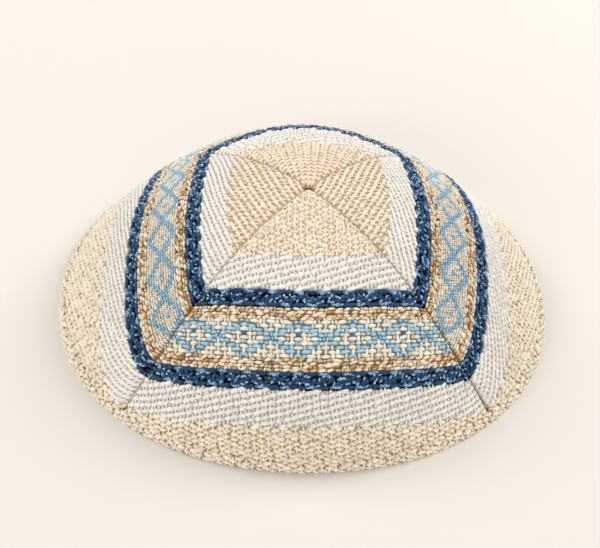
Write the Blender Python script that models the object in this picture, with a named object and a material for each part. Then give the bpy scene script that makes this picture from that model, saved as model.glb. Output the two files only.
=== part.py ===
"""A kippah: a skullcap of four woven gores, sewn together along four seams and hemmed at the rim.

The cap stands on its rim as it would on a table, with +Z up and its front towards -Y. The origin is in the
middle of the rim, on the table. Lengths are in metres.
"""

import math

import bmesh
import bpy
from mathutils import Vector

# Driving sizes of the cap
RIM_HALF_WIDTH = 0.0891  # from the middle to the wall's outer face at the left and right of the rim
RIM_HALF_DEPTH = 0.0802  # likewise at the front and back
CROWN_HEIGHT = 0.0546  # from the table to the crown, without the dimple
CLOTH_THICKNESS = 0.0020  # of the woven cloth
RIM_CORNER = 0.0018  # how much further out the rim is at the seams than a plain oval
SEAM_DEPTH = 0.0010  # how deep a gore's edge rolls in at its seam
SEAM_REACH = 0.0022  # how far from the seam a gore starts to roll in
DIMPLE_DEPTH = 0.0012  # of the pucker where the four gores meet
DIMPLE_REACH = 0.0045  # from the crown's middle
TIP_RADIUS = 0.0012  # from the crown's middle to the tip of each gore
HEM_WIDTH = 0.0040  # of the hem, up the cap from the table
HEM_THICKNESS = 0.0030  # of the hem, through the wall
HEM_FOOT = 0.0014  # width of the flat face that the hem stands on
CLEARANCE = 0.0003  # between two pieces that are sewn to each other

# Form of the dome, as angles and plain numbers
DOME_ANGLE = math.radians(40.5)  # from the crown to the rim, on the ball that the wall follows
DOME_FULLNESS = 1.024  # above 1, the dome is fuller between the crown and the rim
RIM_TUCK = 5.7  # the higher, the nearer to the rim the front and back turn in
GORE_PUFF = 0.025  # share of the radius that a gore's middle stands out, and its seams stand in, halfway up

GORES = 4
GORE_ANGLE = 2 * math.pi / GORES
GORE_COLUMNS = 20  # faces across each gore
GORE_ROWS = 22  # faces from its tip to the hem
HEM_STEPS = 80  # sections round the rim

# Names of the gores, in the order that they follow each other from the front to +X
GORE_NAMES = ("gore_front", "gore_right", "gore_back", "gore_left")

# Worked out from the sizes above
MEAN_RADIUS = RIM_HALF_WIDTH + RIM_CORNER / 2  # of the rim, halfway between its corners and its sides
TIP_ROW = TIP_RADIUS * math.sin(DOME_ANGLE) / (MEAN_RADIUS * DOME_ANGLE)  # where a gore's tip starts

# Section of the hem: each corner's place up the hem, as a share of its width, and through it, as a share of
# its thickness from the middle of the wall, outwards. The two foot corners come from HEM_FOOT.
HEM_SECTION = (
    # up, out
    (0.28, 0.42),
    (0.62, 0.50),
    (1.00, 0.36),
    (1.00, -0.36),
    (0.62, -0.50),
    (0.28, -0.42),
)


def clear_scene():
    """Remove every object, so that the script can run again from the text editor."""
    for thing in list(bpy.data.objects):
        bpy.data.objects.remove(thing, do_unlink=True)


def smooth_dip(distance, reach):
    """1 on a line and falling smoothly to nothing past its reach."""
    return math.exp(-((distance / reach) ** 2))


def dome_point(row, angle):
    """A point on the cap's outer face, without its seams and dimple.

    row is 0 at the crown and 1 at the rim. angle is 0 at the middle of the front gore and grows towards +X.
    """
    turn = row * DOME_ANGLE
    drop = (1 - math.cos(turn)) / (1 - math.cos(DOME_ANGLE))
    puff = GORE_PUFF * math.sin(math.pi * row) - RIM_CORNER / 2 / MEAN_RADIUS * row**2
    round_radius = MEAN_RADIUS * math.sin(turn) / math.sin(DOME_ANGLE)
    radius = round_radius * (1 + puff * math.cos(GORES * angle))
    tuck = 1 - (1 - RIM_HALF_DEPTH / RIM_HALF_WIDTH) * row**RIM_TUCK
    height = CROWN_HEIGHT * (1 - drop**DOME_FULLNESS)
    return Vector((radius * math.sin(angle), -tuck * radius * math.cos(angle), height))


def way_up(row, angle):
    """The direction up the wall at a point, towards the crown, and how fast the wall runs there per row."""
    step = 1e-4
    run = (dome_point(row - step, angle) - dome_point(row, angle)) / step
    return run.normalized(), run.length


def way_out(row, angle):
    """The direction straight out of the wall at a point."""
    step = 1e-4
    up = way_up(row, angle)[0]
    along = dome_point(row, angle + step) - dome_point(row, angle - step)
    return along.cross(up).normalized()


def row_above_rim(distance, angle):
    """The row that lies so far up the wall from the rim."""
    row = 1.0
    for _ in range(4):
        row = 1 - distance / way_up((1 + row) / 2, angle)[1]
    return row


def place_on_gore(across, down, into, middle):
    """A point of a gore, with its rolled edges and its share of the dimple.

    across runs from -1 to 1 between the two seams, down from 0 at the tip to 1 at the hem, and into is the
    depth in the cloth. middle is the angle of the gore's middle line.
    """
    angle = middle + across * GORE_ANGLE / 2
    last_row = row_above_rim(HEM_WIDTH + CLEARANCE, angle)
    row = TIP_ROW + (last_row - TIP_ROW) * down
    # The edge stops half the clearance short of its seam, which is a wide angle at the tip and a narrow one
    # at the rim.
    radius = dome_point(row, angle).xy.length
    angle -= across * math.asin(CLEARANCE / 2 / radius)
    to_seam = radius * (GORE_ANGLE / 2 - abs(angle - middle))
    roll = SEAM_DEPTH * smooth_dip(to_seam, SEAM_REACH)
    dimple = DIMPLE_DEPTH * smooth_dip(radius, DIMPLE_REACH)
    return dome_point(row, angle) - way_out(row, angle) * (max(roll, dimple) + into)


def make_material(name, colour, roughness):
    """A cloth colour for one piece."""
    material = bpy.data.materials.new(name)
    material.use_nodes = True
    shader = material.node_tree.nodes["Principled BSDF"]
    shader.inputs["Base Color"].default_value = (*colour, 1)
    shader.inputs["Roughness"].default_value = roughness
    shader.inputs["Metallic"].default_value = 0
    return material


def add_piece(name, bm, material):
    """Turn a finished bmesh into an object of its own."""
    mesh = bpy.data.meshes.new(name)
    bm.to_mesh(mesh)
    bm.free()
    mesh.shade_smooth()
    mesh.set_sharp_from_angle(angle=math.radians(45))
    mesh.materials.append(material)
    piece = bpy.data.objects.new(name, mesh)
    bpy.context.scene.collection.objects.link(piece)


def make_gore(name, middle, material):
    """One gore: a flat square of cloth laid over the dome. middle is the angle of its middle line."""
    bm = bmesh.new()
    bmesh.ops.create_grid(bm, x_segments=GORE_COLUMNS, y_segments=GORE_ROWS, size=1)
    bmesh.ops.solidify(bm, geom=bm.faces[:], thickness=CLOTH_THICKNESS)
    top = max(vert.co.z for vert in bm.verts)
    for vert in bm.verts:
        # The sine draws the columns together at the seams, where the edge rolls in.
        across = math.sin(vert.co.x * math.pi / 2)
        down = (1 - vert.co.y) / 2
        vert.co = place_on_gore(across, down, top - vert.co.z, middle)
    bmesh.ops.recalc_face_normals(bm, faces=bm.faces)
    add_piece(name, bm, material)


def make_hem(material):
    """The hem: its section spun into a plain ring, which is then laid along the rim."""
    bm = bmesh.new()
    corners = [(0, HEM_FOOT / 2)]
    corners += [(up * HEM_WIDTH, out * HEM_THICKNESS) for up, out in HEM_SECTION]
    corners += [(0, -HEM_FOOT / 2)]
    verts = [bm.verts.new((RIM_HALF_WIDTH + out, 0, up)) for up, out in corners]
    edges = [bm.edges.new((verts[i - 1], verts[i])) for i in range(len(verts))]
    bmesh.ops.spin(
        bm,
        geom=verts + edges,
        axis=(0, 0, 1),
        cent=(0, 0, 0),
        angle=2 * math.pi,
        steps=HEM_STEPS,
        use_merge=True,
    )
    for vert in bm.verts:
        angle = math.atan2(vert.co.x, -vert.co.y)
        out = vert.co.xy.length - RIM_HALF_WIDTH
        vert.co = place_on_rim(angle, vert.co.z, out)
    bmesh.ops.recalc_face_normals(bm, faces=bm.faces)
    add_piece("rim_hem", bm, material)


def place_on_rim(angle, up, out):
    """A point of the hem, up the wall from the table and out from the middle of the wall."""
    row = row_above_rim(up, angle)
    # Lines through the hem are level at its flat foot and turn until they are square with the wall at its top,
    # where the gores meet it.
    through = way_out(row, angle)
    through.z *= up / HEM_WIDTH
    return dome_point(row, angle) + through.normalized() * (out - CLOTH_THICKNESS / 2)


def build():
    clear_scene()
    cloth = make_material("woven cotton gore", (0.83, 0.76, 0.64), 0.9)
    hem_yarn = make_material("stitched cotton hem", (0.87, 0.80, 0.68), 0.9)
    for quarter, name in enumerate(GORE_NAMES):
        make_gore(name, quarter * GORE_ANGLE, cloth)
    make_hem(hem_yarn)


build()
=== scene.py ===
# %% [markdown]
# # A kippah, woven and sewn in Blender
#
# The real cap is a small dome of coarse cotton cloth. Four triangular gores meet at the crown, each woven
# with the same stripes: cream, white, navy, a tan-edged band with a diamond lattice, navy, white and cream.
# A thick stitched hem goes round the rim.
#
# The CAD model gives the dome, the four seams and the hem. This script lays the weaving over it, one yarn
# float at a time, because on so coarse a cloth every float shows.

# %% Load the fixed frame
import math

import bmesh
import bpy
import numpy as np
from mathutils import Matrix, Vector


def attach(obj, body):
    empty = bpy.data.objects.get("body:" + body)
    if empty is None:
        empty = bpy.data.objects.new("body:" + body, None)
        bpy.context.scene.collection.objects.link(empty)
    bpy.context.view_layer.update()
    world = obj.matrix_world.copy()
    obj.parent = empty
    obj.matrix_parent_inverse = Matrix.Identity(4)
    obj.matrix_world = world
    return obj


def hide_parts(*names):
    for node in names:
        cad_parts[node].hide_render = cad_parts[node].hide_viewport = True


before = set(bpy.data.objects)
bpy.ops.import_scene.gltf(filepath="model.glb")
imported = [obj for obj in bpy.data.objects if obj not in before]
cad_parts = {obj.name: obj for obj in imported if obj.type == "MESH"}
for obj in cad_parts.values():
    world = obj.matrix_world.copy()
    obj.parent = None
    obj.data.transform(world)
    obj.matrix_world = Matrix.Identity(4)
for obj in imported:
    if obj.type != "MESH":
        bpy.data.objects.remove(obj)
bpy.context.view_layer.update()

# %% [markdown]
# ## The dome
#
# The cap's wall follows one formula: a ball that is oval at the rim, fuller halfway up, and drawn in a
# little along its four seams. Cloth could also be simulated over a ball, but a formula gives the same
# result each time and lets every yarn be laid at a known place on it. The sizes are the ones that the CAD
# is made from.

# %% Sizes of the cap, in metres
MM = 0.001
RIM_HALF_WIDTH = 0.0891
RIM_HALF_DEPTH = 0.0802
CROWN_HEIGHT = 0.0546
CLOTH_THICKNESS = 0.0020
RIM_CORNER = 0.0018
HEM_WIDTH = 0.0040
HEM_THICKNESS = 0.0030
HEM_FOOT = 0.0014
CLEARANCE = 0.0003
DOME_ANGLE = math.radians(40.5)
DOME_FULLNESS = 1.024
RIM_TUCK = 5.7
GORE_PUFF = 0.025
GORE_ANGLE = math.pi / 2
MEAN_RADIUS = RIM_HALF_WIDTH + RIM_CORNER / 2
GORE_NAMES = ("gore_front", "gore_right", "gore_back", "gore_left")

# %% Points on the dome


def dome_points(fall, angle):
    """Points of the outer face. fall is 0 at the crown and 1 at the rim, and angle is 0 at the front."""
    turn = fall * DOME_ANGLE
    drop = np.maximum((1 - np.cos(turn)) / (1 - math.cos(DOME_ANGLE)), 0)
    puff = GORE_PUFF * np.sin(math.pi * fall) - RIM_CORNER / 2 / MEAN_RADIUS * fall**2
    radius = MEAN_RADIUS * np.sin(turn) / math.sin(DOME_ANGLE) * (1 + puff * np.cos(4 * angle))
    tuck = 1 - (1 - RIM_HALF_DEPTH / RIM_HALF_WIDTH) * np.abs(fall) ** RIM_TUCK
    height = CROWN_HEIGHT * (1 - drop**DOME_FULLNESS)
    return np.stack((radius * np.sin(angle), -tuck * radius * np.cos(angle), height), axis=-1)


def unit(vectors):
    """The same directions with a length of 1."""
    return vectors / np.linalg.norm(vectors, axis=-1, keepdims=True)


def way_up(fall, angle):
    """The run up the wall towards the crown, per unit of fall."""
    step = 1e-4
    return (dome_points(fall - step, angle) - dome_points(fall, angle)) / step


def way_out(fall, angle):
    """The direction straight out of the wall."""
    step = 1e-4
    along = dome_points(fall, angle + step) - dome_points(fall, angle - step)
    return unit(np.cross(along, way_up(fall, angle)))


def fall_above_rim(distance, angle):
    """The fall that lies so far up the wall from the rim."""
    fall = np.ones_like(angle)
    for _ in range(4):
        fall = 1 - distance / np.linalg.norm(way_up((1 + fall) / 2, angle), axis=-1)
    return fall


print("crown at", dome_points(np.array(0.0), np.array(0.0)).round(4))

# %% [markdown]
# ## The rows of the weaving
#
# A gore is woven flat, in straight rows, and then cut and sewn. On the cap its rows run almost level across
# the middle of the gore and dip towards both seams. Each stripe has a whole number of rows, about 1.45 mm
# apart. The chart below says at which row each stripe starts, and where that row lies on the dome at the
# gore's middle and at its seams. No two gores were cut quite alike, so the middles differ a little.

# %% The chart of stripes
ROW = 1.45 * MM

STRIPES = (
    # stripe, first row, and fall at the middle of the front, right, back and left gores and at the seams
    ("crown", 0, 0.000, 0.000, 0.000, 0.000, 0.000),
    ("inner white", 20, 0.294, 0.284, 0.296, 0.281, 0.387),
    ("inner navy", 28, 0.411, 0.376, 0.472, 0.372, 0.525),
    ("upper tan", 32, 0.467, 0.430, 0.550, 0.425, 0.591),
    ("diamonds", 35, 0.506, 0.466, 0.603, 0.459, 0.631),
    ("lower tan", 44, 0.622, 0.576, 0.715, 0.565, 0.749),
    ("outer navy", 47, 0.661, 0.612, 0.745, 0.600, 0.789),
    ("outer white", 51, 0.716, 0.660, 0.790, 0.648, 0.844),
    ("rim", 60, 0.832, 0.755, 0.876, 0.747, 0.954),
    ("past the hem", 78, 1.090, 1.040, 1.110, 1.040, 1.200),
)
START = {name: first for name, first, *_ in STRIPES}
print("first rows:", START)

# %% [markdown]
# ## A flat map for each gore
#
# Weaving is drawn most easily on a flat map: how far along the row, and which row. The next cell measures
# the dome along every row once, and keeps for each row the angle that belongs to each share of its length.
# Reading that table back turns a place on the flat map into a place on the dome.

# %% Measure the rows
ROW_STEP = 0.5
SHARES = 129  # places that the table keeps along each row
TURNS = 257  # places at which the dome is measured along each row
FRONT_TIP_DEPTH = -0.3 * MM  # the front gore's tip was sewn last and lies over the dimple
TIP_DEPTH = 2.2 * MM
TIP_REACH = 3.0 * MM
BOW = 0.6  # how much rounder than a straight cut the outer stripes run
BOW_ROWS = 35  # rows over which the bow and the skew grow, from the end of the crown
ABOVE_HEM = 55.0  # a row that is above the hem all the way along
SKEW = (0.0, -0.025, 0.0, 0.05)  # how far the outer stripes of each gore lie lower on one side
ROLL_DEPTH = 0.65 * MM
ROLL_REACH = 1.7 * MM


class GoreMap:
    """Lengths along the rows of one gore, and the way back from a length to an angle."""

    def __init__(self, quarter):
        self.quarter = quarter
        self.middle = quarter * GORE_ANGLE
        self.tip_depth = FRONT_TIP_DEPTH if quarter == 0 else TIP_DEPTH
        self.rows, *middles, self.at_seam = np.array([stripe[1:] for stripe in STRIPES], float).T
        self.at_middle = middles[quarter]
        self.skew = SKEW[quarter]
        self.row_list = np.arange(0, self.rows[-1] + ROW_STEP / 2, ROW_STEP)
        turn = np.linspace(-GORE_ANGLE / 2, GORE_ANGLE / 2, TURNS)
        row_grid, turn_grid = np.meshgrid(self.row_list, turn, indexing="ij")
        points = dome_points(self.fall(row_grid, turn_grid), self.middle + turn_grid)
        steps = np.linalg.norm(np.diff(points, axis=1), axis=-1)
        length = np.concatenate((np.zeros((len(steps), 1)), np.cumsum(steps, axis=1)), axis=1)
        length -= length[:, [TURNS // 2]]
        self.half = np.maximum(length[:, -1], 1e-6)
        share = np.linspace(-1, 1, SHARES)
        self.turn = np.array([np.interp(share * h, run, turn) for h, run in zip(self.half, length)])
        self.turn[0] = self.turn[1]

    def fall(self, row, turn):
        """How far down the dome a row is, at an angle from the gore's middle."""
        middle = np.interp(row, self.rows, self.at_middle)
        seam = np.interp(row, self.rows, self.at_seam)
        outer = np.clip((row - START["inner white"]) / BOW_ROWS, 0, 1.2)
        dip = (1 / np.cos(turn) - 1) / (math.sqrt(2) - 1)
        dip = dip + BOW * outer * dip * (1 - dip)
        share = np.minimum(np.abs(turn) / (GORE_ANGLE / 2), 1)
        skew = self.skew * outer * np.sign(turn) * share**1.2 * (1 - share**5)
        return middle + (seam - middle) * dip + skew

    def half_length(self, row):
        """From the gore's middle to its seam, along a row."""
        return np.interp(row, self.row_list, self.half)

    def angle_from_middle(self, along, row):
        """Reads the table between its rows and shares."""
        share = np.clip(along / self.half_length(row), -1, 1)
        x = np.clip((share + 1) / 2 * (SHARES - 1), 0, SHARES - 1.001)
        y = np.clip(row / ROW_STEP, 0, len(self.row_list) - 1.001)
        column, line = x.astype(int), y.astype(int)
        x, y = x - column, y - line
        above = self.turn[line, column] * (1 - x) + self.turn[line, column + 1] * x
        below = self.turn[line + 1, column] * (1 - x) + self.turn[line + 1, column + 1] * x
        return above * (1 - y) + below * y

    def place(self, along, row, lift):
        """Points of the cap from places on the flat map. lift is the height over the cloth's outer face."""
        turn = self.angle_from_middle(along, row)
        fall, angle = self.fall(row, turn), self.middle + turn
        points = dome_points(fall, angle)
        radius = np.linalg.norm(points[..., :2], axis=-1)
        to_seam = np.maximum(self.half_length(row) - np.abs(along), 0)
        roll = ROLL_DEPTH * np.exp(-((to_seam / ROLL_REACH) ** 2))
        dimple = self.tip_depth * np.exp(-((radius / TIP_REACH) ** 2))
        return points + way_out(fall, angle) * (lift - np.maximum(roll, dimple))[..., None]

    def hem_row(self, share):
        """The row where the gore disappears under the hem, at a share of its half width."""
        low, high = np.full_like(share, ABOVE_HEM), np.full_like(share, self.rows[-1] - 1.0)
        for _ in range(24):
            row = (low + high) / 2
            turn = self.angle_from_middle(share * self.half_length(row), row)
            above = self.fall(row, turn) < fall_above_rim(HEM_WIDTH + CLEARANCE, self.middle + turn)
            low, high = np.where(above, row, low), np.where(above, high, row)
        return (low + high) / 2


MAPS = [GoreMap(quarter) for quarter in range(4)]
for name, gore in zip(GORE_NAMES, MAPS):
    seam_row, middle_row = gore.hem_row(np.array([0.98])), gore.hem_row(np.array([0.0]))
    print(name, "reaches row", middle_row.round(1), "in the middle and", seam_row.round(1), "at the seam")

# %% [markdown]
# ## Camera, floor and light
#
# The photograph looks down at the front of the cap from about 45 degrees, through a long lens, against a
# pale seamless floor in very soft light. The camera's place was worked out from the cap's outline and
# stripes. It aims a little past the cap and is rolled a little, as the photograph's was, so no lens shift
# is needed.

# %% Objects and meshes


def add_object(name, data):
    """A new object in the scene for a mesh, a light or the camera."""
    thing = bpy.data.objects.new(name, data)
    bpy.context.scene.collection.objects.link(thing)
    return thing


def finished_mesh(bm, name):
    """A mesh from a bmesh that is done with."""
    mesh = bpy.data.meshes.new(name)
    bm.to_mesh(mesh)
    bm.free()
    return mesh


# %% Camera
LENS = 79.9
CAMERA_TURN = math.radians(-2.99)
CAMERA_RISE = math.radians(45.2)
CAMERA_ROLL = math.radians(2.66)
AIM = Vector((0, 0, 0.0225))
CAMERA_DISTANCE = 0.4779
CAMERA_ASIDE = -0.0019
CAMERA_ABOVE = -0.0075


def aim_camera():
    """Sets the camera up at the photograph's angle."""
    data = bpy.data.cameras.new("camera")
    data.lens, data.sensor_width = LENS, 36
    data.clip_start, data.clip_end = 0.01, 20
    camera = add_object("camera", data)
    level, height = math.cos(CAMERA_RISE), math.sin(CAMERA_RISE)
    back = Vector((math.sin(CAMERA_TURN) * level, -math.cos(CAMERA_TURN) * level, height))
    right = Vector((math.cos(CAMERA_TURN), math.sin(CAMERA_TURN), 0))
    rolled = Matrix.Rotation(CAMERA_ROLL, 3, back)
    right, up = rolled @ right, rolled @ back.cross(right)
    eye = AIM + back * CAMERA_DISTANCE + right * CAMERA_ASIDE + up * CAMERA_ABOVE
    axes = Matrix((right, up, back)).transposed().to_4x4()
    camera.matrix_world = Matrix.Translation(eye) @ axes
    bpy.context.scene.camera = camera
    return camera


camera = aim_camera()
print("camera at", [round(x, 3) for x in camera.matrix_world.translation])

# %% Colours and nodes


def linear(code):
    """An sRGB hex colour as the linear colour that Blender's sockets take."""
    parts = [int(code[i : i + 2], 16) / 255 for i in (0, 2, 4)]
    return (*[x / 12.92 if x <= 0.04045 else ((x + 0.055) / 1.055) ** 2.4 for x in parts], 1)


def add_node(tree, kind, settings=None, **links):
    """Adds a shader node. links give each input, by name, a value or the output socket that feeds it."""
    node = tree.nodes.new("ShaderNode" + kind)
    for key, value in (settings or {}).items():
        setattr(node, key, value)
    for key, value in links.items():
        socket = node.inputs[int(key[1:])] if key[0] == "_" else node.inputs[key.replace("_", " ")]
        if isinstance(value, bpy.types.NodeSocket):
            tree.links.new(value, socket)
        else:
            socket.default_value = value
    return node


def new_material(name, roughness):
    """A material with its node tree and shader."""
    material = bpy.data.materials.new(name)
    material.use_nodes = True
    shader = material.node_tree.nodes["Principled BSDF"]
    shader.inputs["Roughness"].default_value = roughness
    return material, material.node_tree, shader


print("cream as linear colour:", [round(x, 3) for x in linear("F8EFDF")])

# %% Floor


def lay_floor():
    """A wide pale floor of matt paper."""
    bm = bmesh.new()
    bmesh.ops.create_grid(bm, x_segments=2, y_segments=2, size=3)
    mesh = finished_mesh(bm, "floor")
    floor = add_object("floor", mesh)
    material, tree, shader = new_material("matt backdrop paper", 0.9)
    shader.inputs["Base Color"].default_value = linear("EBE5DF")
    shader.inputs["Specular IOR Level"].default_value = 0.1
    mesh.materials.append(material)


lay_floor()

# %% Light
LIGHT_COLOUR = (1.0, 0.985, 0.96)  # a little warm


def hang_light(name, place, size, power):
    """A softbox: a square area light that faces the cap."""
    data = bpy.data.lights.new(name, "AREA")
    data.shape, data.size, data.energy, data.color = "SQUARE", size, power, LIGHT_COLOUR
    light = add_object(name, data)
    light.location = place
    light.rotation_euler = (Vector(place) - AIM).to_track_quat("Z", "Y").to_euler()


SOFTBOXES = (
    # name, place, size in metres and power in watts
    ("softbox back right", (0.76, 0.44, 0.75), 0.5, 7.1),
    ("softbox back left", (-0.76, 0.44, 0.75), 0.5, 5.3),
    ("softbox right", (0.88, 0.00, 0.75), 0.5, 1.5),
    ("softbox behind", (0.00, 0.88, 0.75), 0.5, 0.8),
    ("softbox front left", (-0.75, -0.80, 0.50), 0.6, 4.2),
    ("softbox low front", (0.00, -1.05, 0.45), 0.6, 2.0),
    ("softbox front right", (0.80, -0.75, 0.50), 0.6, 0.5),
)


def light_the_room():
    """Softboxes all round, the strongest from behind at both sides, and an even pale room."""
    for name, place, size, power in SOFTBOXES:
        hang_light(name, place, size, power)
    world = bpy.data.worlds.new("pale room")
    bpy.context.scene.world = world
    world.use_nodes = True
    back = world.node_tree.nodes["Background"]
    back.inputs["Color"].default_value = (1.0, 0.985, 0.955, 1)
    back.inputs["Strength"].default_value = 0.30
    bpy.context.scene.view_settings.view_transform = "Standard"


light_the_room()

# %% [markdown]
# ## Cotton yarn
#
# The yarn is soft mercerised cotton in three or four plies, loosely twisted, about 1.3 mm across. Cotton is
# a dielectric with no visible gloss at this scale: roughness near 0.9 and a little sheen from loose fibres.
# What gives it life is that the crest of each float catches the light, while its flanks, where light has
# passed through other fibres, look warmer and darker. That light and shade is painted into the colour: each
# colour of yarn has a lighter crest tone and a warmer, darker flank tone of painted shade, mixed by the
# height on the float, and no two floats are dyed quite alike.
#
# The plies are drawn with a wave texture along the float's own map. Real fibres are 0.015 mm across, which
# no picture of the cap would show, so the fibre noise is drawn at 0.1 mm.

# %% Yarn materials
PLY = 0.45  # mm between two plies of the yarn
FIBRE = 0.1  # mm, drawn coarser than the real 0.015


def cotton_yarn(name, crest, shaded_flank, spread=0.10, deep=0.42):
    """Twisted cotton yarn with painted shade: its flanks are painted warmer and darker than its crest."""
    material, tree, shader = new_material(name, 0.88)
    shader.inputs["Sheen Weight"].default_value = 0.25
    shader.inputs["Sheen Roughness"].default_value = 0.5
    shader.inputs["Specular IOR Level"].default_value = 0.25
    high = add_node(tree, "Attribute", {"attribute_name": "crest"})
    tint = add_node(tree, "Attribute", {"attribute_name": "tint"})
    yarn_map = add_node(tree, "UVMap", {"uv_map": "yarn"})
    place = add_node(tree, "TexCoord")
    rise = add_node(
        tree, "MapRange", {"interpolation_type": "SMOOTHSTEP"},
        Value=high.outputs["Fac"], From_Min=0.05, From_Max=0.85,
    )
    # painted shade: the flank tone darkens and warms the low sides of each float, by the float's height
    crest_and_shaded_flank = add_node(
        tree, "Mix", {"data_type": "RGBA"}, _0=rise.outputs["Result"], _6=linear(shaded_flank), _7=linear(crest)
    )
    slubs = add_node(
        tree, "TexNoise", {"noise_dimensions": "3D"},
        Vector=place.outputs["Object"], Scale=1 / (2.5 * MM), Detail=2.0,
    )
    shade = add_node(
        tree, "Math", {"operation": "MULTIPLY_ADD"},
        _0=tint.outputs["Fac"], _1=spread * 2, _2=1 - spread * 1.5,
    )
    value = add_node(
        tree, "Math", {"operation": "MULTIPLY_ADD"},
        _0=slubs.outputs["Fac"], _1=spread, _2=shade.outputs["Value"],
    )
    dyed = add_node(tree, "HueSaturation", {}, Value=value.outputs["Value"], Color=crest_and_shaded_flank.outputs[2])
    tree.links.new(dyed.outputs["Color"], shader.inputs["Base Color"])
    turned = add_node(
        tree, "Mapping", {}, Vector=yarn_map.outputs["UV"], Rotation=(0, 0, math.radians(35))
    )
    plies = add_node(
        tree, "TexWave", {"wave_profile": "SIN"},
        Vector=turned.outputs["Vector"], Scale=2 * math.pi / 20 / PLY, Distortion=1.2, Detail=1.0,
    )
    fibres = add_node(tree, "TexNoise", {}, Vector=turned.outputs["Vector"], Scale=1 / FIBRE, Detail=2.0)
    relief = add_node(
        tree, "Math", {"operation": "MULTIPLY_ADD"},
        _0=fibres.outputs["Fac"], _1=0.35, _2=plies.outputs["Fac"],
    )
    bump = add_node(tree, "Bump", {}, Height=relief.outputs["Value"], Strength=deep, Distance=0.12 * MM)
    tree.links.new(bump.outputs["Normal"], shader.inputs["Normal"])
    return material


# the second colour of each yarn is painted shade for the flanks of its floats
YARNS = {
    "cream": cotton_yarn("natural cotton yarn", "F8EFDF", "E9D8BA"),
    "white": cotton_yarn("bleached cotton yarn", "F7F4EF", "E2D9CE", 0.06),
    "navy": cotton_yarn("indigo cotton yarn", "10477A", "051226", 0.16),
    "blue": cotton_yarn("mid blue cotton yarn", "3F7BB0", "102C50", 0.16),
    "sky": cotton_yarn("sky blue cotton yarn", "B0D4E6", "70A6C6", 0.10),
    "pale": cotton_yarn("pale blue cotton yarn", "DCE4E3", "A3AFAB", 0.10),
    "light blue": cotton_yarn("light blue cotton yarn", "98C3E2", "4A7CAD", 0.12),
    "tan": cotton_yarn("tan cotton yarn", "E3C79B", "A67C49", 0.14),
    "brown": cotton_yarn("light brown cotton yarn", "C79F70", "835A30", 0.14),
    "sand": cotton_yarn("sand cotton yarn", "F7EBD6", "D2B080", 0.10),
    "teal": cotton_yarn("dark teal cotton yarn", "3B6675", "17303A", 0.10),
}
YARN_ORDER = list(YARNS)
print(len(YARNS), "yarns:", ", ".join(YARN_ORDER))

# %% [markdown]
# ## One float
#
# A float is the short length of yarn that shows between two crossings: a plump grain, pointed where it
# dives under its neighbours. It starts as a ball whose poles lie along the yarn. The half that lies in the
# cloth is taken away and the opening filled, so that the grain stays closed and light: there are thousands
# of them.

# %% Model one float
SKIRT = 0.22  # how much wider a float is where it sinks between its neighbours


def model_float(around, along):
    """The unit float: 1 long, 1 wide, and 1 from the cloth's face to its crest."""
    bm = bmesh.new()
    bmesh.ops.create_uvsphere(bm, u_segments=around, v_segments=along, radius=0.5)
    for vert in bm.verts:
        x, y, z = vert.co
        vert.co = (z, x, y)
    sunk = [vert for vert in bm.verts if vert.co.z < -1e-4]
    bmesh.ops.delete(bm, geom=sunk, context="VERTS")
    bmesh.ops.edgenet_fill(bm, edges=[edge for edge in bm.edges if edge.is_boundary])
    for vert in bm.verts:
        to_end = min(abs(vert.co.x) * 2, 1)
        low = 1 - min(max(vert.co.z * 2, 0), 1)
        vert.co.x *= 1.10 + 0.06 * low
        vert.co.y *= 1.0 + SKIRT * low
        vert.co.z = vert.co.z * 2.2 - 0.45 * to_end**2 - 0.1 - 0.15 * low**4
    bmesh.ops.triangulate(bm, faces=bm.faces)
    bmesh.ops.recalc_face_normals(bm, faces=bm.faces)
    places = np.array([vert.co for vert in bm.verts])
    bm.verts.index_update()
    faces = np.array([[vert.index for vert in face.verts] for face in bm.faces])
    bm.free()
    return places, faces


FLOAT = model_float(8, 6)
SMALL_FLOAT = model_float(6, 5)
LINING_FLOAT = model_float(6, 4)
for shape in (FLOAT, SMALL_FLOAT, LINING_FLOAT):
    print("a float of", len(shape[1]), "triangles")

# %% [markdown]
# ## Weaving
#
# Every stripe is a list of floats: where each lies on the flat map, how long, wide and high it is, which
# way it leans and what yarn it is. One function copies the unit float to all of them, bends each to the
# dome and joins them into one piece.

# %% Repeat the float
rng = np.random.default_rng(7)
FLOAT_SUNK = 0.42 * MM  # so that only the crests stand over the face of the CAD's cloth
LINING_SUNK = 0.20 * MM
SHORTEST = 0.7 * MM  # what is left of a float at a seam goes if it is shorter than this
NARROWEST = 0.55  # likewise for a bit of warp, as a share of its width
SEAM_EDGE = 0.03 * MM  # between a float's end and its seam


def trim_at_seams(gore, floats, gap):
    """Shortens the floats that would cross a seam, and drops what is left of the shortest."""
    along, row, length, width, rise, lean, yarn = floats.T
    limit = gore.half_length(row) - gap
    reach = np.abs(np.cos(lean)) * length / 2 + np.abs(np.sin(lean)) * width / 2
    start, end = np.maximum(along - reach, -limit), np.minimum(along + reach, limit)
    share = (end - start) / (2 * reach)
    kept = floats.copy()
    kept[:, 0] = (start + end) / 2
    flat = np.abs(np.cos(lean)) > 0.5
    kept[:, 2] = np.where(flat, length * share, length)
    kept[:, 3] = np.where(flat, width, width * share)
    return kept[np.where(flat, length * share > SHORTEST, share > NARROWEST)]


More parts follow.
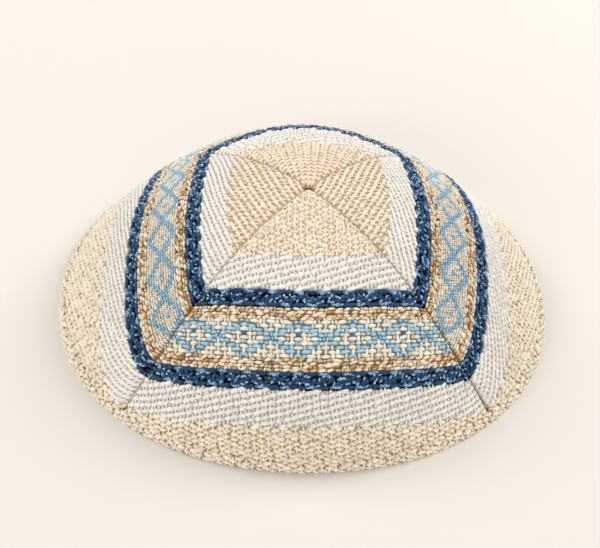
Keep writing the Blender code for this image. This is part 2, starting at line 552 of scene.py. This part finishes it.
def gather_floats(points, x, y, crest, faces, yarns):
    """Vertices, faces, float map, crest and tint of many floats, and the yarn of each face."""
    count = len(points)
    start = rng.uniform(0, 50, (count, 1))
    yarn_map = np.stack((start + x / MM, start * 0.37 + y / MM), axis=-1)
    crest = np.broadcast_to(crest, x.shape)
    tint = np.broadcast_to(rng.uniform(0, 1, (count, 1)), x.shape)
    all_faces = (faces[None] + (np.arange(count) * crest.shape[1])[:, None, None]).reshape(-1, 3)
    per_face = np.repeat(yarns, len(faces))
    return points.reshape(-1, 3), all_faces, yarn_map.reshape(-1, 2), crest.ravel(), tint.ravel(), per_face


def lay_floats(gore, floats, shape, inside=False):
    """Every float of one list, laid on its gore, or on the gore's inner face."""
    along, row, length, width, rise, lean, yarn = (floats[:, [i]] for i in range(7))
    grain, faces = shape
    a, b, c = grain.T[:, None]
    x, y = a * length, b * width
    if inside:
        y = -y
    right = x * np.cos(lean) - y * np.sin(lean)
    up = x * np.sin(lean) + y * np.cos(lean)
    where_along, where_row = along + right, row - up / ROW
    limit = gore.half_length(where_row) - SEAM_EDGE
    where_along = np.clip(where_along, -limit, limit)
    lift = c * rise - FLOAT_SUNK
    if inside:
        lift = -CLOTH_THICKNESS - (c * rise - LINING_SUNK)
    points = gore.place(where_along, where_row, lift)
    return gather_floats(points, x, y, c, faces, floats[:, 6].astype(int))


def join_floats(name, parts):
    """One piece from the floats of one or more lists."""
    points, faces, yarn_map, crest, tint, yarns = zip(*parts)
    starts = np.cumsum([0] + [len(part) for part in points[:-1]])
    faces = np.concatenate([part + start for part, start in zip(faces, starts)])
    yarns = np.concatenate(yarns)
    used = sorted(set(yarns))
    mesh = bpy.data.meshes.new(name)
    mesh.from_pydata(np.concatenate(points).tolist(), [], faces.tolist())
    mesh.uv_layers.new(name="yarn")
    yarn_map = np.concatenate(yarn_map)[faces.ravel()]
    mesh.uv_layers["yarn"].uv.foreach_set("vector", yarn_map.ravel().astype(np.float32))
    for label, values in (("crest", crest), ("tint", tint)):
        layer = mesh.attributes.new(label, "FLOAT", "POINT")
        layer.data.foreach_set("value", np.concatenate(values).astype(np.float32))
    for yarn in used:
        mesh.materials.append(YARNS[YARN_ORDER[yarn]])
    mesh.polygons.foreach_set("material_index", np.searchsorted(used, yarns).astype(np.int32))
    mesh.shade_smooth()
    mesh.update()
    return add_object(name, mesh)


# %% [markdown]
# ## Seed weave
#
# The cream cloth along the rim, and in front at the crown, is a seed weave. Plump weft floats lie end to
# end in a row, a short upright bit of warp shows between two of them, and the next row is shifted by half a
# repeat, so that each float sits over a warp bit. The weaver's hand shows as small changes of place,
# length, lean and height. At the back of the crown the floats lean by turns, and fan out from the tip.

# %% Lists of floats
CREAM, WHITE, NAVY, BLUE, SKY, PALE, LIGHT, TAN, BROWN, SAND, TEAL = range(11)


def uneven(value, share):
    """A size with a small random change."""
    return value * (1 + rng.normal(0, share))


def weft(along, row, length=2.9 * MM, width=1.22 * MM, rise=0.66 * MM, lean=0.0, yarn=CREAM):
    """One weft float, lying along the row."""
    lean = lean + rng.normal(0, 0.12)
    return (along, row, uneven(length, 0.08), uneven(width, 0.07), uneven(rise, 0.10), lean, yarn)


def warp(along, row, length=1.9 * MM, width=0.95 * MM, rise=0.58 * MM, lean=0.0, yarn=CREAM):
    """One bit of warp, standing across the row."""
    lean = math.pi / 2 + lean + rng.normal(0, 0.12)
    return (along, row, uneven(length, 0.12), uneven(width, 0.10), uneven(rise, 0.12), lean, yarn)


def on_gore(gore, floats, spare=2 * MM):
    """The floats that lie on the gore, or reach it from just over the seam."""
    return [item for item in floats if abs(item[0]) < gore.half_length(item[1]) + spare]


def seed_weave(gore, first, last, repeat, pitch, long, wide):
    """Rows of weft floats with bits of warp between them. pitch is in rows, the sizes are in metres."""
    bit_long, bit_wide, bit_high = 1.8 * pitch * ROW, 0.96 * MM, 0.50 * MM
    floats = []
    drift = 0.0
    for step, row in enumerate(np.arange(first + pitch / 2, last, pitch)):
        half = gore.half_length(row)
        drift += rng.normal(0, 0.04) * repeat
        count = int(half / repeat) + 2
        for place in range(-count, count + 1):
            along = (place + 0.5 * (step % 2)) * repeat + drift + rng.normal(0, 0.05) * repeat
            floats.append(weft(along, row + rng.normal(0, 0.07), long, wide))
            along += repeat / 2 + rng.normal(0, 0.03) * repeat
            floats.append(warp(along, row + rng.normal(0, 0.07), bit_long, bit_wide, bit_high))
    return on_gore(gore, floats)


FAN_TIP = 0.40  # how narrow the columns of the fan are at the tip, as a share of their width at the rim side
FAN_LEAN = 0.95  # radians


def chevron_weave(gore, first, last, repeat, pitch):
    """Columns of leaning floats that fan out from the tip, as the cloth is drawn together there."""
    floats = []
    for row in np.arange(first, last, pitch):
        share = FAN_TIP + (1 - FAN_TIP) * row / last
        count = int(gore.half_length(row) / (repeat * share)) + 2
        for place in range(-count, count + 1):
            for side in (-1, 1):
                along = (place + 0.23 * side) * repeat * share + rng.normal(0, 0.08 * MM)
                down = row + rng.normal(0, 0.06)
                lean = -side * rng.normal(FAN_LEAN, 0.08)
                wide = 1.15 * MM * (0.4 + 0.6 * share)
                floats.append(weft(along, down, 2.7 * MM, wide, 0.72 * MM, lean))
    return on_gore(gore, floats)


# %% [markdown]
# ## Ropes
#
# The white stripes are a twill: long floats that overlap end to end and climb across the stripe, so that
# they read as ropes. Between two ropes lies a line of small warp bits with pinholes between them. At the
# crown, the cream of the two side gores is roped as well, more steeply, and mirrored from the left to the
# right.

# %% Ropes
FLATTER = math.radians(5)  # by how much a float in a rope leans less than its rope climbs, and its bits more


def ropes(gore, first, last, yarn, climb, pitch, step, long, wide, bit_step):
    """Ropes of floats that climb by an angle, with bits of warp between them. pitch is in rows."""
    floats = []
    slope = math.tan(climb) / ROW
    half = gore.half_length(last)
    count = int((last - first + half * abs(slope) * 2) / pitch) + 4
    low = math.copysign(FLATTER, climb)
    for rope in range(-count, count + 1):
        start = first + 0.5 * pitch + rope * pitch
        for along in np.arange(-half - rng.uniform(0, step), half + step, step):
            row = start - along * slope + rng.normal(0, 0.05)
            if first + 0.05 < row < last - 0.05:
                place = along + rng.normal(0, 0.06) * step
                floats.append(weft(place, row, long, wide, 0.72 * MM, climb + low, yarn))
        for along in np.arange(-half - rng.uniform(0, bit_step), half, bit_step):
            row = start + 0.5 * pitch - along * slope + rng.normal(0, 0.06)
            if first + 0.15 < row < last - 0.15:
                place = along + rng.normal(0, 0.10) * bit_step
                floats.append(warp(place, row, 1.6 * MM, 0.88 * MM, 0.50 * MM, -low * 2, yarn))
    return on_gore(gore, floats)


def white_twill(gore, first, last):
    """The white stripe's ropes. Those of the side gores have shorter floats."""
    if gore.quarter in (1, 3):
        climb, sizes = math.radians(19), (1.45, 1.75 * MM, 2.9 * MM, 1.5 * MM, 1.75 * MM)
    else:
        climb, sizes = math.radians(15), (1.6, 2.4 * MM, 3.3 * MM, 1.6 * MM, 1.4 * MM)
    return ropes(gore, first, last, WHITE, climb, *sizes)


# %% [markdown]
# ## Navy stripes
#
# Four rows. In the two edge rows a long navy float takes turns with a cluster of short light blue ones, and
# the two edges are half a repeat out of step. Between them a navy strand winds from one edge's float to the
# other's, among small light blue floats and specks of white, so that the stripe reads as a braid.

# %% Navy
NAVY_REPEAT = 8.2 * MM


def navy_stripe(gore, first):
    """Four rows of navy and blue floats."""
    floats = []
    half = gore.half_length(first + 3.5)
    count = int(half / NAVY_REPEAT) + 2
    for place in range(-count, count + 1):
        start = place * NAVY_REPEAT
        for row, shift, slant in ((first + 0.45, 0.0, -1), (first + 3.5, NAVY_REPEAT / 2, 1)):
            along = start + shift + rng.normal(0, 0.15 * MM)
            floats.append(weft(along - 0.75 * MM, row, 3.0 * MM, 1.35 * MM, 0.74 * MM, 0.08, NAVY))
            floats.append(weft(along + 0.85 * MM, row + 0.04, 2.9 * MM, 1.35 * MM, 0.74 * MM, 0.08, NAVY))
            for offset, yarn in ((2.7, BLUE), (3.4, LIGHT), (4.15, LIGHT), (4.9, LIGHT), (5.6, BLUE)):
                lean = rng.normal(0.2, 0.45)
                down = row + slant * rng.uniform(-0.25, 0.1)
                spot = along + offset * MM
                floats.append(warp(spot, down, 1.35 * MM, 0.9 * MM, 0.62 * MM, lean, yarn))
        for step in range(5):
            along = start + (step + 0.4) * NAVY_REPEAT / 5 + rng.normal(0, 0.15 * MM)
            rising = math.sin(2 * math.pi * along / NAVY_REPEAT + 0.6)
            row = first + 2.0 + 0.55 * rising + rng.normal(0, 0.08)
            floats.append(weft(along, row, 2.5 * MM, 1.2 * MM, 0.68 * MM, 0.35, NAVY))
            for side in (-1, 1):
                yarn = rng.choice((LIGHT, BLUE, NAVY), p=(0.60, 0.25, 0.15))
                spot = along + rng.uniform(-0.6, 0.9) * MM
                beside = row + side * rng.uniform(0.62, 0.95)
                lean = rng.normal(0.45, 0.45)
                if first + 0.3 < beside < first + 3.7:
                    floats.append(weft(spot, beside, 1.75 * MM, 0.92 * MM, 0.64 * MM, lean, yarn))
            if rng.random() < 0.55:
                yarn = rng.choice((WHITE, LIGHT), p=(0.6, 0.4))
                spot = along + NAVY_REPEAT / 10
                beside = first + rng.uniform(1.0, 3.0)
                floats.append(warp(spot, beside, 0.95 * MM, 0.6 * MM, 0.70 * MM, 0.2, yarn))
    return on_gore(gore, floats)


# %% [markdown]
# ## Tan strips and diamonds
#
# Between the navy stripes lies the widest band: three rows of mixed cream, sand, tan and brown, nine rows
# of cream with a sky blue diamond lattice, and three mixed rows again. The lattice is the old bird's eye
# pattern of hand weaving. The chart gives half of one diamond, from its middle to the knot between two of
# them, in columns of one warp thread. The other half is its mirror image. The front and back gores follow
# the chart. On the side gores a rule says which floats lie on the lattice, and the floats are shorter.

# %% Tan and diamonds


def tan_strip(gore, first, last):
    """Rows of short floats, cream and sand over brown, leaning uphill."""
    floats = []
    for row in np.arange(first + 0.4, last + 0.1, 0.8):
        half = gore.half_length(row)
        along = -half + rng.uniform(0, 1) * MM
        while along < half:
            length = rng.uniform(1.7, 3.1) * MM
            yarn = rng.choice((SAND, CREAM, TAN, BROWN), p=(0.45, 0.20, 0.23, 0.12))
            lean = math.radians(rng.uniform(-8, 24))
            down = min(max(row + rng.normal(0, 0.12), first + 0.3), last - 0.3)
            floats.append(weft(along + length / 2, down, length * 1.02, 1.15 * MM, yarn=yarn, lean=lean))
            along += length
            if rng.random() < 0.6:
                yarn = rng.choice((CREAM, SAND, BROWN, PALE, TEAL), p=(0.40, 0.27, 0.20, 0.09, 0.04))
                lean = rng.normal(0, 0.2)
                floats.append(warp(along + 0.25 * MM, down, 1.3 * MM, 0.75 * MM, 0.62 * MM, lean, yarn))
                along += rng.uniform(0.3, 0.7) * MM
    return floats


DIAMOND_COLUMNS = 15
DIAMOND_CHART = (
    # row, columns from the middle of a diamond, kind, columns long, yarn
    (0, 0.8, weft, 1.3, SKY),
    (0, 3.0, weft, 2.7, CREAM),
    (0, 4.6, warp, 1.5, CREAM),
    (0, 5.6, warp, 1.4, PALE),
    (0, 7.5, weft, 2.6, CREAM),
    (1, 0.0, weft, 2.1, SKY),
    (1.25, 2.2, weft, 2.8, SKY),
    (1, 4.0, warp, 1.6, PALE),
    (1, 5.6, weft, 2.4, CREAM),
    (1, 7.5, warp, 1.6, PALE),
    (2, 0.0, weft, 2.5, CREAM),
    (1.5, 0.0, warp, 1.0, CREAM),
    (2, 1.75, warp, 1.5, SKY),
    (2, 2.6, warp, 1.0, SAND),
    (2.1, 4.0, weft, 2.9, SKY),
    (2, 5.9, warp, 1.5, PALE),
    (2, 7.5, weft, 2.5, CREAM),
    (3, 0.3, warp, 1.0, BLUE),
    (3, 1.6, weft, 1.9, CREAM),
    (3, 3.1, weft, 1.3, SAND),
    (2.9, 4.5, weft, 1.9, SKY),
    (3.1, 6.2, weft, 1.9, SKY),
    (3, 7.5, warp, 1.0, SKY),
    (4, 0.0, weft, 2.5, CREAM),
    (4, 1.8, warp, 1.6, WHITE),
    (4, 2.8, warp, 1.2, PALE),
    (4, 4.4, weft, 2.4, CREAM),
    (4, 6.1, weft, 1.3, SKY),
    (4, 7.0, warp, 1.1, SKY),
    (4, 7.5, warp, 0.9, TEAL),
    (5, 0.3, warp, 1.1, SKY),
    (5, 1.7, weft, 1.9, CREAM),
    (5, 3.3, weft, 1.6, CREAM),
    (4.9, 4.9, weft, 1.9, SKY),
    (5, 6.4, weft, 1.7, SKY),
    (5, 7.5, warp, 1.5, CREAM),
    (6, 0.0, weft, 2.5, CREAM),
    (6, 1.8, warp, 1.4, SKY),
    (6, 3.6, weft, 2.9, SKY),
    (6, 5.7, warp, 1.6, PALE),
    (6, 7.5, weft, 2.5, CREAM),
    (7, 0.0, warp, 1.4, CREAM),
    (6.9, 2.2, weft, 2.9, SKY),
    (7, 4.1, warp, 1.5, CREAM),
    (7, 5.7, weft, 2.4, CREAM),
    (7, 7.5, warp, 1.6, PALE),
    (7.8, 0.0, weft, 2.3, SKY),
    (8.3, 0.8, warp, 0.8, SKY),
    (8, 1.8, warp, 1.3, PALE),
    (8, 3.6, weft, 2.8, CREAM),
    (8, 5.6, warp, 1.5, CREAM),
    (8, 7.5, weft, 2.6, CREAM),
)


def diamond_band(gore, first, shift, warp_pitch):
    """Nine rows of floats after the chart, for the front and back gores."""
    floats = []
    count = int(gore.half_length(first + 9) / (DIAMOND_COLUMNS * warp_pitch)) + 2
    for place in range(-count, count + 1):
        middle = place * DIAMOND_COLUMNS * warp_pitch + shift
        for step, column, kind, long, yarn in DIAMOND_CHART:
            sides = (1,) if column in (0.0, 7.5) else (-1, 1)
            for side in sides:
                along = middle + side * column * warp_pitch + rng.normal(0, 0.1 * MM)
                row = first + step + 0.5 + rng.normal(0, 0.05)
                if kind == weft:
                    floats.append(weft(along, row, (long + 0.05) * warp_pitch, 1.32 * MM, yarn=yarn))
                else:
                    floats.append(warp(along, row, 1.1 * long * ROW, 0.92 * warp_pitch, yarn=yarn))
    return on_gore(gore, floats)


LATTICE_PITCH = 0.74  # rows between two lines of floats
LATTICE_MIDDLE = 4.4  # rows from the top of the band to the middle of its diamonds
LATTICE_HEIGHT = 4.0  # rows from there to the points of the diamonds
LATTICE_LINE = 0.22  # half the width of the lattice's lines, where half a diamond is 1
LATTICE_DOT = 0.18  # half the width of the spot in the middle, likewise


def lattice_yarn(across, down):
    """Sky on the lattice's lines and spots, else a mix of creams, by halves of a diamond from its middle."""
    place = abs(across) + abs(down)
    if abs(place - 1) < LATTICE_LINE or place < LATTICE_DOT:
        return SKY
    return rng.choice((CREAM, WHITE, SAND), p=(0.70, 0.18, 0.12))


def lattice_band(gore, first, shift, warp_pitch):
    """The same nine rows on a side gore, in short floats: the lattice reads as plain lines there."""
    floats = []
    half = DIAMOND_COLUMNS / 2 * warp_pitch
    for step, down in enumerate(np.arange(0.45, 8.8, LATTICE_PITCH)):
        reach = gore.half_length(first + down)
        for spot in np.arange(-reach, reach, 2.0 * MM):
            for kind, ahead in ((weft, 0.5 + step % 2), (warp, 1.5 + step % 2)):
                along = spot + ahead * MM + rng.normal(0, 0.06 * MM)
                across = (along - shift + half) % (2 * half) - half
                yarn = lattice_yarn(across / half, (down - LATTICE_MIDDLE) / LATTICE_HEIGHT)
                row = first + down + rng.normal(0, 0.04)
                if kind == weft:
                    floats.append(weft(along, row, 1.70 * MM, 1.22 * MM, 0.60 * MM, yarn=yarn))
                else:
                    floats.append(warp(along, row, 1.30 * MM, 0.76 * MM, 0.56 * MM, yarn=yarn))
    return floats


# %% [markdown]
# ## The ground cloth
#
# Under the floats is the cloth itself, as a closed sheet 1.5 mm thick that stands for the CAD gore. What
# shows of it between the floats is shade, so its outer face is painted, stripe by stripe, with the shade of
# that stripe's holes: tan in the cream, pale grey in the white, nearly black in the navy, and darker still
# at the tip. The sheet starts as a flat grid, gets its thickness, and is then laid on the dome along the
# rows of the weaving.

# %% Ground cloth material
RAMP_ROWS = 80.0  # rows from one end of the colour ramps to the other
HOLES = (
    # first row, painted shade between the floats, colour of the inner face
    # the first rows darken towards the tip: painted shade in the dimple where the gores meet
    (0, "6E4E26", "B89B6C"),
    (0.9, "B89A68", "B89B6C"),
    (1.5, "D0B489", "B89B6C"),
    (20, "D2C8BC", "A89988"),
    (28, "040A16", "0A1830"),
    (32, "9A7346", "96703F"),
    (35, "83877A", "8D8468"),
    (44, "9A7346", "96703F"),
    (47, "040A16", "0A1830"),
    (51, "D0C6B9", "A89988"),
    (60, "B5956A", "B89B6C"),
)


def ground_cloth():
    """Painted shade between the floats, by row, and the inner face's colour, with a fine plain weave in
    relief.
    """
    material, tree, shader = new_material("woven cotton ground in painted shade", 0.95)
    shader.inputs["Specular IOR Level"].default_value = 0.1
    rows = add_node(tree, "UVMap", {"uv_map": "weave"})
    split = add_node(tree, "SeparateXYZ", {}, Vector=rows.outputs["UV"])
    share = add_node(tree, "Math", {"operation": "DIVIDE"}, _0=split.outputs["Y"], _1=RAMP_ROWS)
    ramps = []
    for column in (1, 2):
        ramp = add_node(tree, "ValToRGB", {}, _0=share.outputs["Value"])
        ramp.color_ramp.interpolation = "CONSTANT"
        ramp.color_ramp.elements.remove(ramp.color_ramp.elements[1])
        ramp.color_ramp.elements[0].color = linear(HOLES[0][column])
        for stripe in HOLES[1:]:
            ramp.color_ramp.elements.new(stripe[0] / RAMP_ROWS).color = linear(stripe[column])
        ramps.append(ramp)
    inner = add_node(tree, "Attribute", {"attribute_name": "inner"})
    colour = add_node(
        tree, "Mix", {"data_type": "RGBA"},
        _0=inner.outputs["Fac"], _6=ramps[0].outputs["Color"], _7=ramps[1].outputs["Color"],
    )
    tree.links.new(colour.outputs[2], shader.inputs["Base Color"])
    weave = add_node(
        tree, "TexNoise", {"noise_dimensions": "2D"}, Vector=rows.outputs["UV"], Scale=2.5, Detail=2.0
    )
    bump = add_node(tree, "Bump", {}, Height=weave.outputs["Fac"], Strength=0.6, Distance=0.2 * MM)
    tree.links.new(bump.outputs["Normal"], shader.inputs["Normal"])
    return material


GROUND = ground_cloth()

# %% Lay the ground cloth
GROUND_SUNK = 0.50 * MM
SEAM_SLIT = 0.10 * MM  # between two sheets; the sewing pulls them closer together than the CAD's pieces
TIP_ROW = 0.3
GROUND_COLUMNS, GROUND_ROWS = 56, 70  # faces of each sheet


def lay_ground(name, gore):
    """The closed sheet of one gore."""
    bm = bmesh.new()
    bmesh.ops.create_grid(bm, x_segments=GROUND_COLUMNS, y_segments=GROUND_ROWS, size=1)
    bmesh.ops.solidify(bm, geom=bm.faces[:], thickness=CLOTH_THICKNESS - GROUND_SUNK)
    flat = np.array([vert.co for vert in bm.verts])
    share = np.sin(flat[:, 0] * math.pi / 2)
    last = gore.hem_row(share) - 0.1
    row = TIP_ROW + (last - TIP_ROW) * (1 - flat[:, 1]) / 2
    depth = flat[:, 2].max() - flat[:, 2] + GROUND_SUNK
    along = share * (gore.half_length(row) - SEAM_SLIT / 2)
    for vert, point in zip(bm.verts, gore.place(along, row, -depth)):
        vert.co = point
    bmesh.ops.recalc_face_normals(bm, faces=bm.faces)
    mesh = finished_mesh(bm, name)
    mesh.uv_layers.new(name="weave")
    corners = np.zeros(len(mesh.loops), np.int32)
    mesh.loops.foreach_get("vertex_index", corners)
    weave_map = np.stack((along / MM, row), axis=-1)[corners]
    mesh.uv_layers["weave"].uv.foreach_set("vector", weave_map.ravel().astype(np.float32))
    inner = mesh.attributes.new("inner", "FLOAT", "POINT")
    inner.data.foreach_set("value", (depth > CLOTH_THICKNESS / 2).astype(np.float32))
    mesh.shade_smooth()
    mesh.set_sharp_from_angle(angle=math.radians(50))
    mesh.materials.append(GROUND)
    return add_object(name, mesh)


# %% [markdown]
# ## The gores
#
# Now each gore gets its ground and its stripes. The floats are joined stripe by stripe, so that no piece
# has too many faces, and each stripe goes with its gore's sheet of cloth.

# %% Weave the four gores
DIAMONDS = (
    # place of the diamond next to the middle and width of a column: front, right, back and left gores
    (-4.0 * MM, 1.19 * MM),
    (6.9 * MM, 1.02 * MM),
    (0.0 * MM, 1.32 * MM),
    (-5.3 * MM, 1.02 * MM),
)
SEAM_GAPS = {"crown": 0.18, "upper_tan": 0.15, "diamonds": 0.15, "lower_tan": 0.15, "reverse": 0.20}  # in mm
SEAM_GAP = 0.05  # likewise, for the other stripes
LAST_ROW = 77  # the rows past it are under the hem
UNDER_HEM = 0.7  # rows by which a float may still reach under it
LONG_FLOAT = 2.1 * MM  # from this length on, a float is modelled more finely


REVERSE_PITCH = 1.22  # in rows
REVERSE_REPEAT = 3.1 * MM
BAND_MIDDLE = 39.5  # the row in the middle of the diamonds
REVERSE_YARNS = dict(zip(START.values(), (CREAM, WHITE, NAVY, SAND, CREAM, SAND, NAVY, WHITE, CREAM)))


def reverse_side(gore):
    """The cloth's reverse, which is the inside of the cap: plain rows in the colours of the stripes."""
    shift, warp_pitch = DIAMONDS[gore.quarter]
    floats = []
    for step, row in enumerate(np.arange(1.0, LAST_ROW, REVERSE_PITCH)):
        plain = [yarn for first, yarn in REVERSE_YARNS.items() if row >= first][-1]
        in_band = START["diamonds"] <= row < START["lower tan"]
        count = int(gore.half_length(row) / REVERSE_REPEAT) + 2
        for place in range(-count, count + 1):
            along = (place + 0.5 * (step % 2)) * REVERSE_REPEAT
            phase = ((along - shift) / (DIAMOND_COLUMNS * warp_pitch)) % 1
            on_lattice = in_band and abs(abs(row - BAND_MIDDLE) - LATTICE_HEIGHT * abs(1 - 2 * phase)) < 1.0
            yarn = SKY if on_lattice else plain
            if plain == NAVY and rng.random() < 0.3:
                yarn = LIGHT
            floats.append(weft(along, row + rng.normal(0, 0.06), 2.9 * MM, 1.6 * MM, 0.55 * MM, 0, yarn))
    return on_gore(gore, floats)


def cut_to_gore(gore, stripe, floats):
    """Trims a stripe's floats at the seams and drops those that lie under the hem."""
    gap = SEAM_GAPS.get(stripe, SEAM_GAP) * MM
    floats = trim_at_seams(gore, np.array(floats, float), gap)
    share = np.clip(floats[:, 0] / gore.half_length(floats[:, 1]), -0.999, 0.999)
    return floats[floats[:, 1] < gore.hem_row(share) + UNDER_HEM]


def crown_weave(gore):
    """The cream at the crown: seeds in front, ropes at the sides and a fan at the back."""
    last = START["inner white"]
    if gore.quarter == 2:
        return chevron_weave(gore, 2.0, last, 3.5 * MM, 1.45)
    if gore.quarter == 0:
        return seed_weave(gore, 1.1, last, 4.0 * MM, 0.70, 2.9 * MM, 1.16 * MM)
    climb = math.radians(23 if gore.quarter == 3 else -23)
    return ropes(gore, 1.3, last, CREAM, climb, 1.65, 2.1 * MM, 2.7 * MM, 1.35 * MM, 2.1 * MM)


def weave_gore(name, gore):
    """All the stripes of one gore, as pieces."""
    band = diamond_band if gore.quarter in (0, 2) else lattice_band
    stripes = {
        "crown": crown_weave(gore),
        "inner_white": white_twill(gore, START["inner white"], START["inner navy"]),
        "inner_navy": navy_stripe(gore, START["inner navy"]),
        "upper_tan": tan_strip(gore, START["upper tan"], START["diamonds"]),
        "diamonds": band(gore, START["diamonds"], *DIAMONDS[gore.quarter]),
        "lower_tan": tan_strip(gore, START["lower tan"], START["outer navy"]),
        "outer_navy": navy_stripe(gore, START["outer navy"]),
        "outer_white": white_twill(gore, START["outer white"], START["rim"]),
        "rim_cream": seed_weave(gore, START["rim"], LAST_ROW, 4.6 * MM, 0.62, 3.1 * MM, 1.32 * MM),
    }
    pieces = []
    for stripe, floats in stripes.items():
        floats = cut_to_gore(gore, stripe, floats)
        short = floats[:, 2] < LONG_FLOAT
        parts = [lay_floats(gore, floats[~short], FLOAT), lay_floats(gore, floats[short], SMALL_FLOAT)]
        pieces.append(join_floats(f"{name}.{stripe}", parts))
    floats = cut_to_gore(gore, "reverse", reverse_side(gore))
    pieces.append(join_floats(f"{name}.reverse", [lay_floats(gore, floats, LINING_FLOAT, inside=True)]))
    return pieces


for name, gore in zip(GORE_NAMES, MAPS):
    ground = lay_ground(f"{name}.ground", gore)
    woven = weave_gore(name, gore)
    for piece in (ground, *woven):
        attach(piece, "root")
    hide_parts(name)
    print(name, "has", sum(len(piece.data.polygons) for piece in woven), "triangles of weaving")

# %% [markdown]
# ## The hem
#
# The rim is bound with four courses of plump stitches of the same cream yarn. In each, stitches that lie
# along the rim take turns with short upright ones, over a core, from a groove under the last row down to
# the table. The core is the hem's section spun into a ring and laid along the rim, as in the CAD, and the
# stitches are the same float, wrapped over it.

# %% Hem core
HEM_SECTION = ((0.28, 0.42), (0.62, 0.50), (1.00, 0.36), (1.00, -0.36), (0.62, -0.50), (0.28, -0.42))
HEM_STEPS = 240  # sections round the ring
CORE_SHARE = 0.86  # of the hem's thickness


def on_rim(angle, up, out):
    """Points of the hem, up the wall from the table and out from the middle of the wall."""
    fall = fall_above_rim(up, angle)
    through = way_out(fall, angle)
    through[..., 2] *= np.clip(up / HEM_WIDTH, 0, 1)
    return dome_points(fall, angle) + unit(through) * (out - CLOTH_THICKNESS / 2)[..., None]


def hem_core():
    """The ring that the hem's stitches lie on."""
    bm = bmesh.new()
    corners = [(0, HEM_FOOT / 2)]
    corners += [(up * HEM_WIDTH, out * HEM_THICKNESS * CORE_SHARE) for up, out in HEM_SECTION]
    corners += [(0, -HEM_FOOT / 2)]
    verts = [bm.verts.new((RIM_HALF_WIDTH + out, 0, up)) for up, out in corners]
    edges = [bm.edges.new((verts[i - 1], verts[i])) for i in range(len(verts))]
    bmesh.ops.spin(
        bm, geom=verts + edges, axis=(0, 0, 1), cent=(0, 0, 0),
        angle=2 * math.pi, steps=HEM_STEPS, use_merge=True,
    )
    flat = np.array([vert.co for vert in bm.verts])
    angle = np.arctan2(flat[:, 0], -flat[:, 1])
    out = np.hypot(flat[:, 0], flat[:, 1]) - RIM_HALF_WIDTH
    for vert, point in zip(bm.verts, on_rim(angle, flat[:, 2], out)):
        vert.co = point
    bmesh.ops.recalc_face_normals(bm, faces=bm.faces)
    mesh = finished_mesh(bm, "rim_hem.core")
    mesh.shade_smooth()
    mesh.materials.append(HEM_CORE_SHADE)
    return add_object("rim_hem.core", mesh)


def hem_shade():
    """Painted shade on the core between the hem's stitches: two browns mixed by noise."""
    material, tree, shader = new_material("cotton hem core in painted shade", 0.95)
    place = add_node(tree, "TexCoord")
    noise = add_node(
        tree, "TexNoise", {}, Vector=place.outputs["Object"], Scale=1 / (1.2 * MM), Detail=2.0
    )
    # painted shade: the core shows only between the stitches, so it is coloured as their shade
    colour = add_node(
        tree, "Mix", {"data_type": "RGBA"},
        _0=noise.outputs["Fac"], _6=linear("94744A"), _7=linear("C4AB80"),
    )
    tree.links.new(colour.outputs[2], shader.inputs["Base Color"])
    return material


HEM_CORE_SHADE = hem_shade()

# %% Hem stitches
RIM_MEAN = 0.0857  # radius of the rim halfway between its width and its depth
RIM_LENGTH = 2 * math.pi * RIM_MEAN
HEM_PITCH = 4.4 * MM  # from one stitch of a course to the next


def hem_outline(down):
    """The hem's section from its top, where down is 0, over its bulge to its foot, where down is 1."""
    up = HEM_WIDTH * (1.04 - down)
    out = HEM_THICKNESS * (0.34 + 0.16 * np.sin(math.pi * np.clip(down * 1.1, 0, 1)))
    return np.maximum(up, 0.0), out


def lay_hem_course(side, stitch, place, shift, sizes, lean):
    """One course of stitches round the hem, on the outer side, or on the inner one where side is -1."""
    long, wide, high = sizes
    count = int(RIM_LENGTH / HEM_PITCH)
    turn = 2 * math.pi * (np.arange(count) + shift + rng.normal(0, 0.06, count)) / count
    grain, faces = stitch
    a, b, c = grain.T[:, None]
    length = rng.normal(1.0, 0.08, (count, 1)) * long
    width = rng.normal(1.0, 0.08, (count, 1)) * wide
    rise = rng.normal(1.0, 0.10, (count, 1)) * high
    lean = rng.normal(lean, 0.16, (count, 1))
    x, y = a * length, b * width
    down = (x * np.cos(lean) - y * np.sin(lean)) / HEM_WIDTH + place + rng.normal(0, 0.02, (count, 1))
    aside = x * np.sin(lean) + y * np.cos(lean)
    up, out = hem_outline(np.clip(down, 0, 1.02))
    points = on_rim(turn[:, None] + aside / RIM_MEAN, up, side * (out + c * rise))
    points[..., 2] = np.maximum(points[..., 2], 0.0)
    outward = faces if side > 0 else faces[:, ::-1]
    return gather_floats(points, x, y, c, outward, np.full(count, CREAM))


HEM_COURSES = (
    # place down the hem, shift along it in pitches, length, width and rise in mm, and lean in radians
    (0.12, 0.50, 1.8, 0.95, 0.50, 0.00),
    (0.38, 0.00, 1.8, 0.95, 0.50, 0.10),
    (0.64, 0.50, 1.8, 1.00, 0.52, 0.00),
    (0.90, 0.00, 1.7, 1.05, 0.52, 0.20),
    (0.12, 0.00, 3.0, 1.25, 0.58, 1.52),
    (0.38, 0.50, 3.0, 1.25, 0.60, 1.62),
    (0.64, 0.00, 3.1, 1.30, 0.60, 1.50),
    (0.90, 0.50, 3.2, 1.25, 0.60, 1.42),
)


def hem_courses(side):
    """Every course of one side of the hem."""
    parts = []
    for place, shift, long, wide, high, lean in HEM_COURSES:
        grain = FLOAT if long > 2 else SMALL_FLOAT
        if side < 0:
            grain = LINING_FLOAT
        parts.append(lay_hem_course(side, grain, place, shift, (long * MM, wide * MM, high * MM), lean))
    return parts


core = hem_core()
stitches = join_floats("rim_hem.stitches", hem_courses(1) + hem_courses(-1))
for piece in (core, stitches):
    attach(piece, "root")
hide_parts("rim_hem")
print("hem stitches:", len(stitches.data.polygons), "triangles")
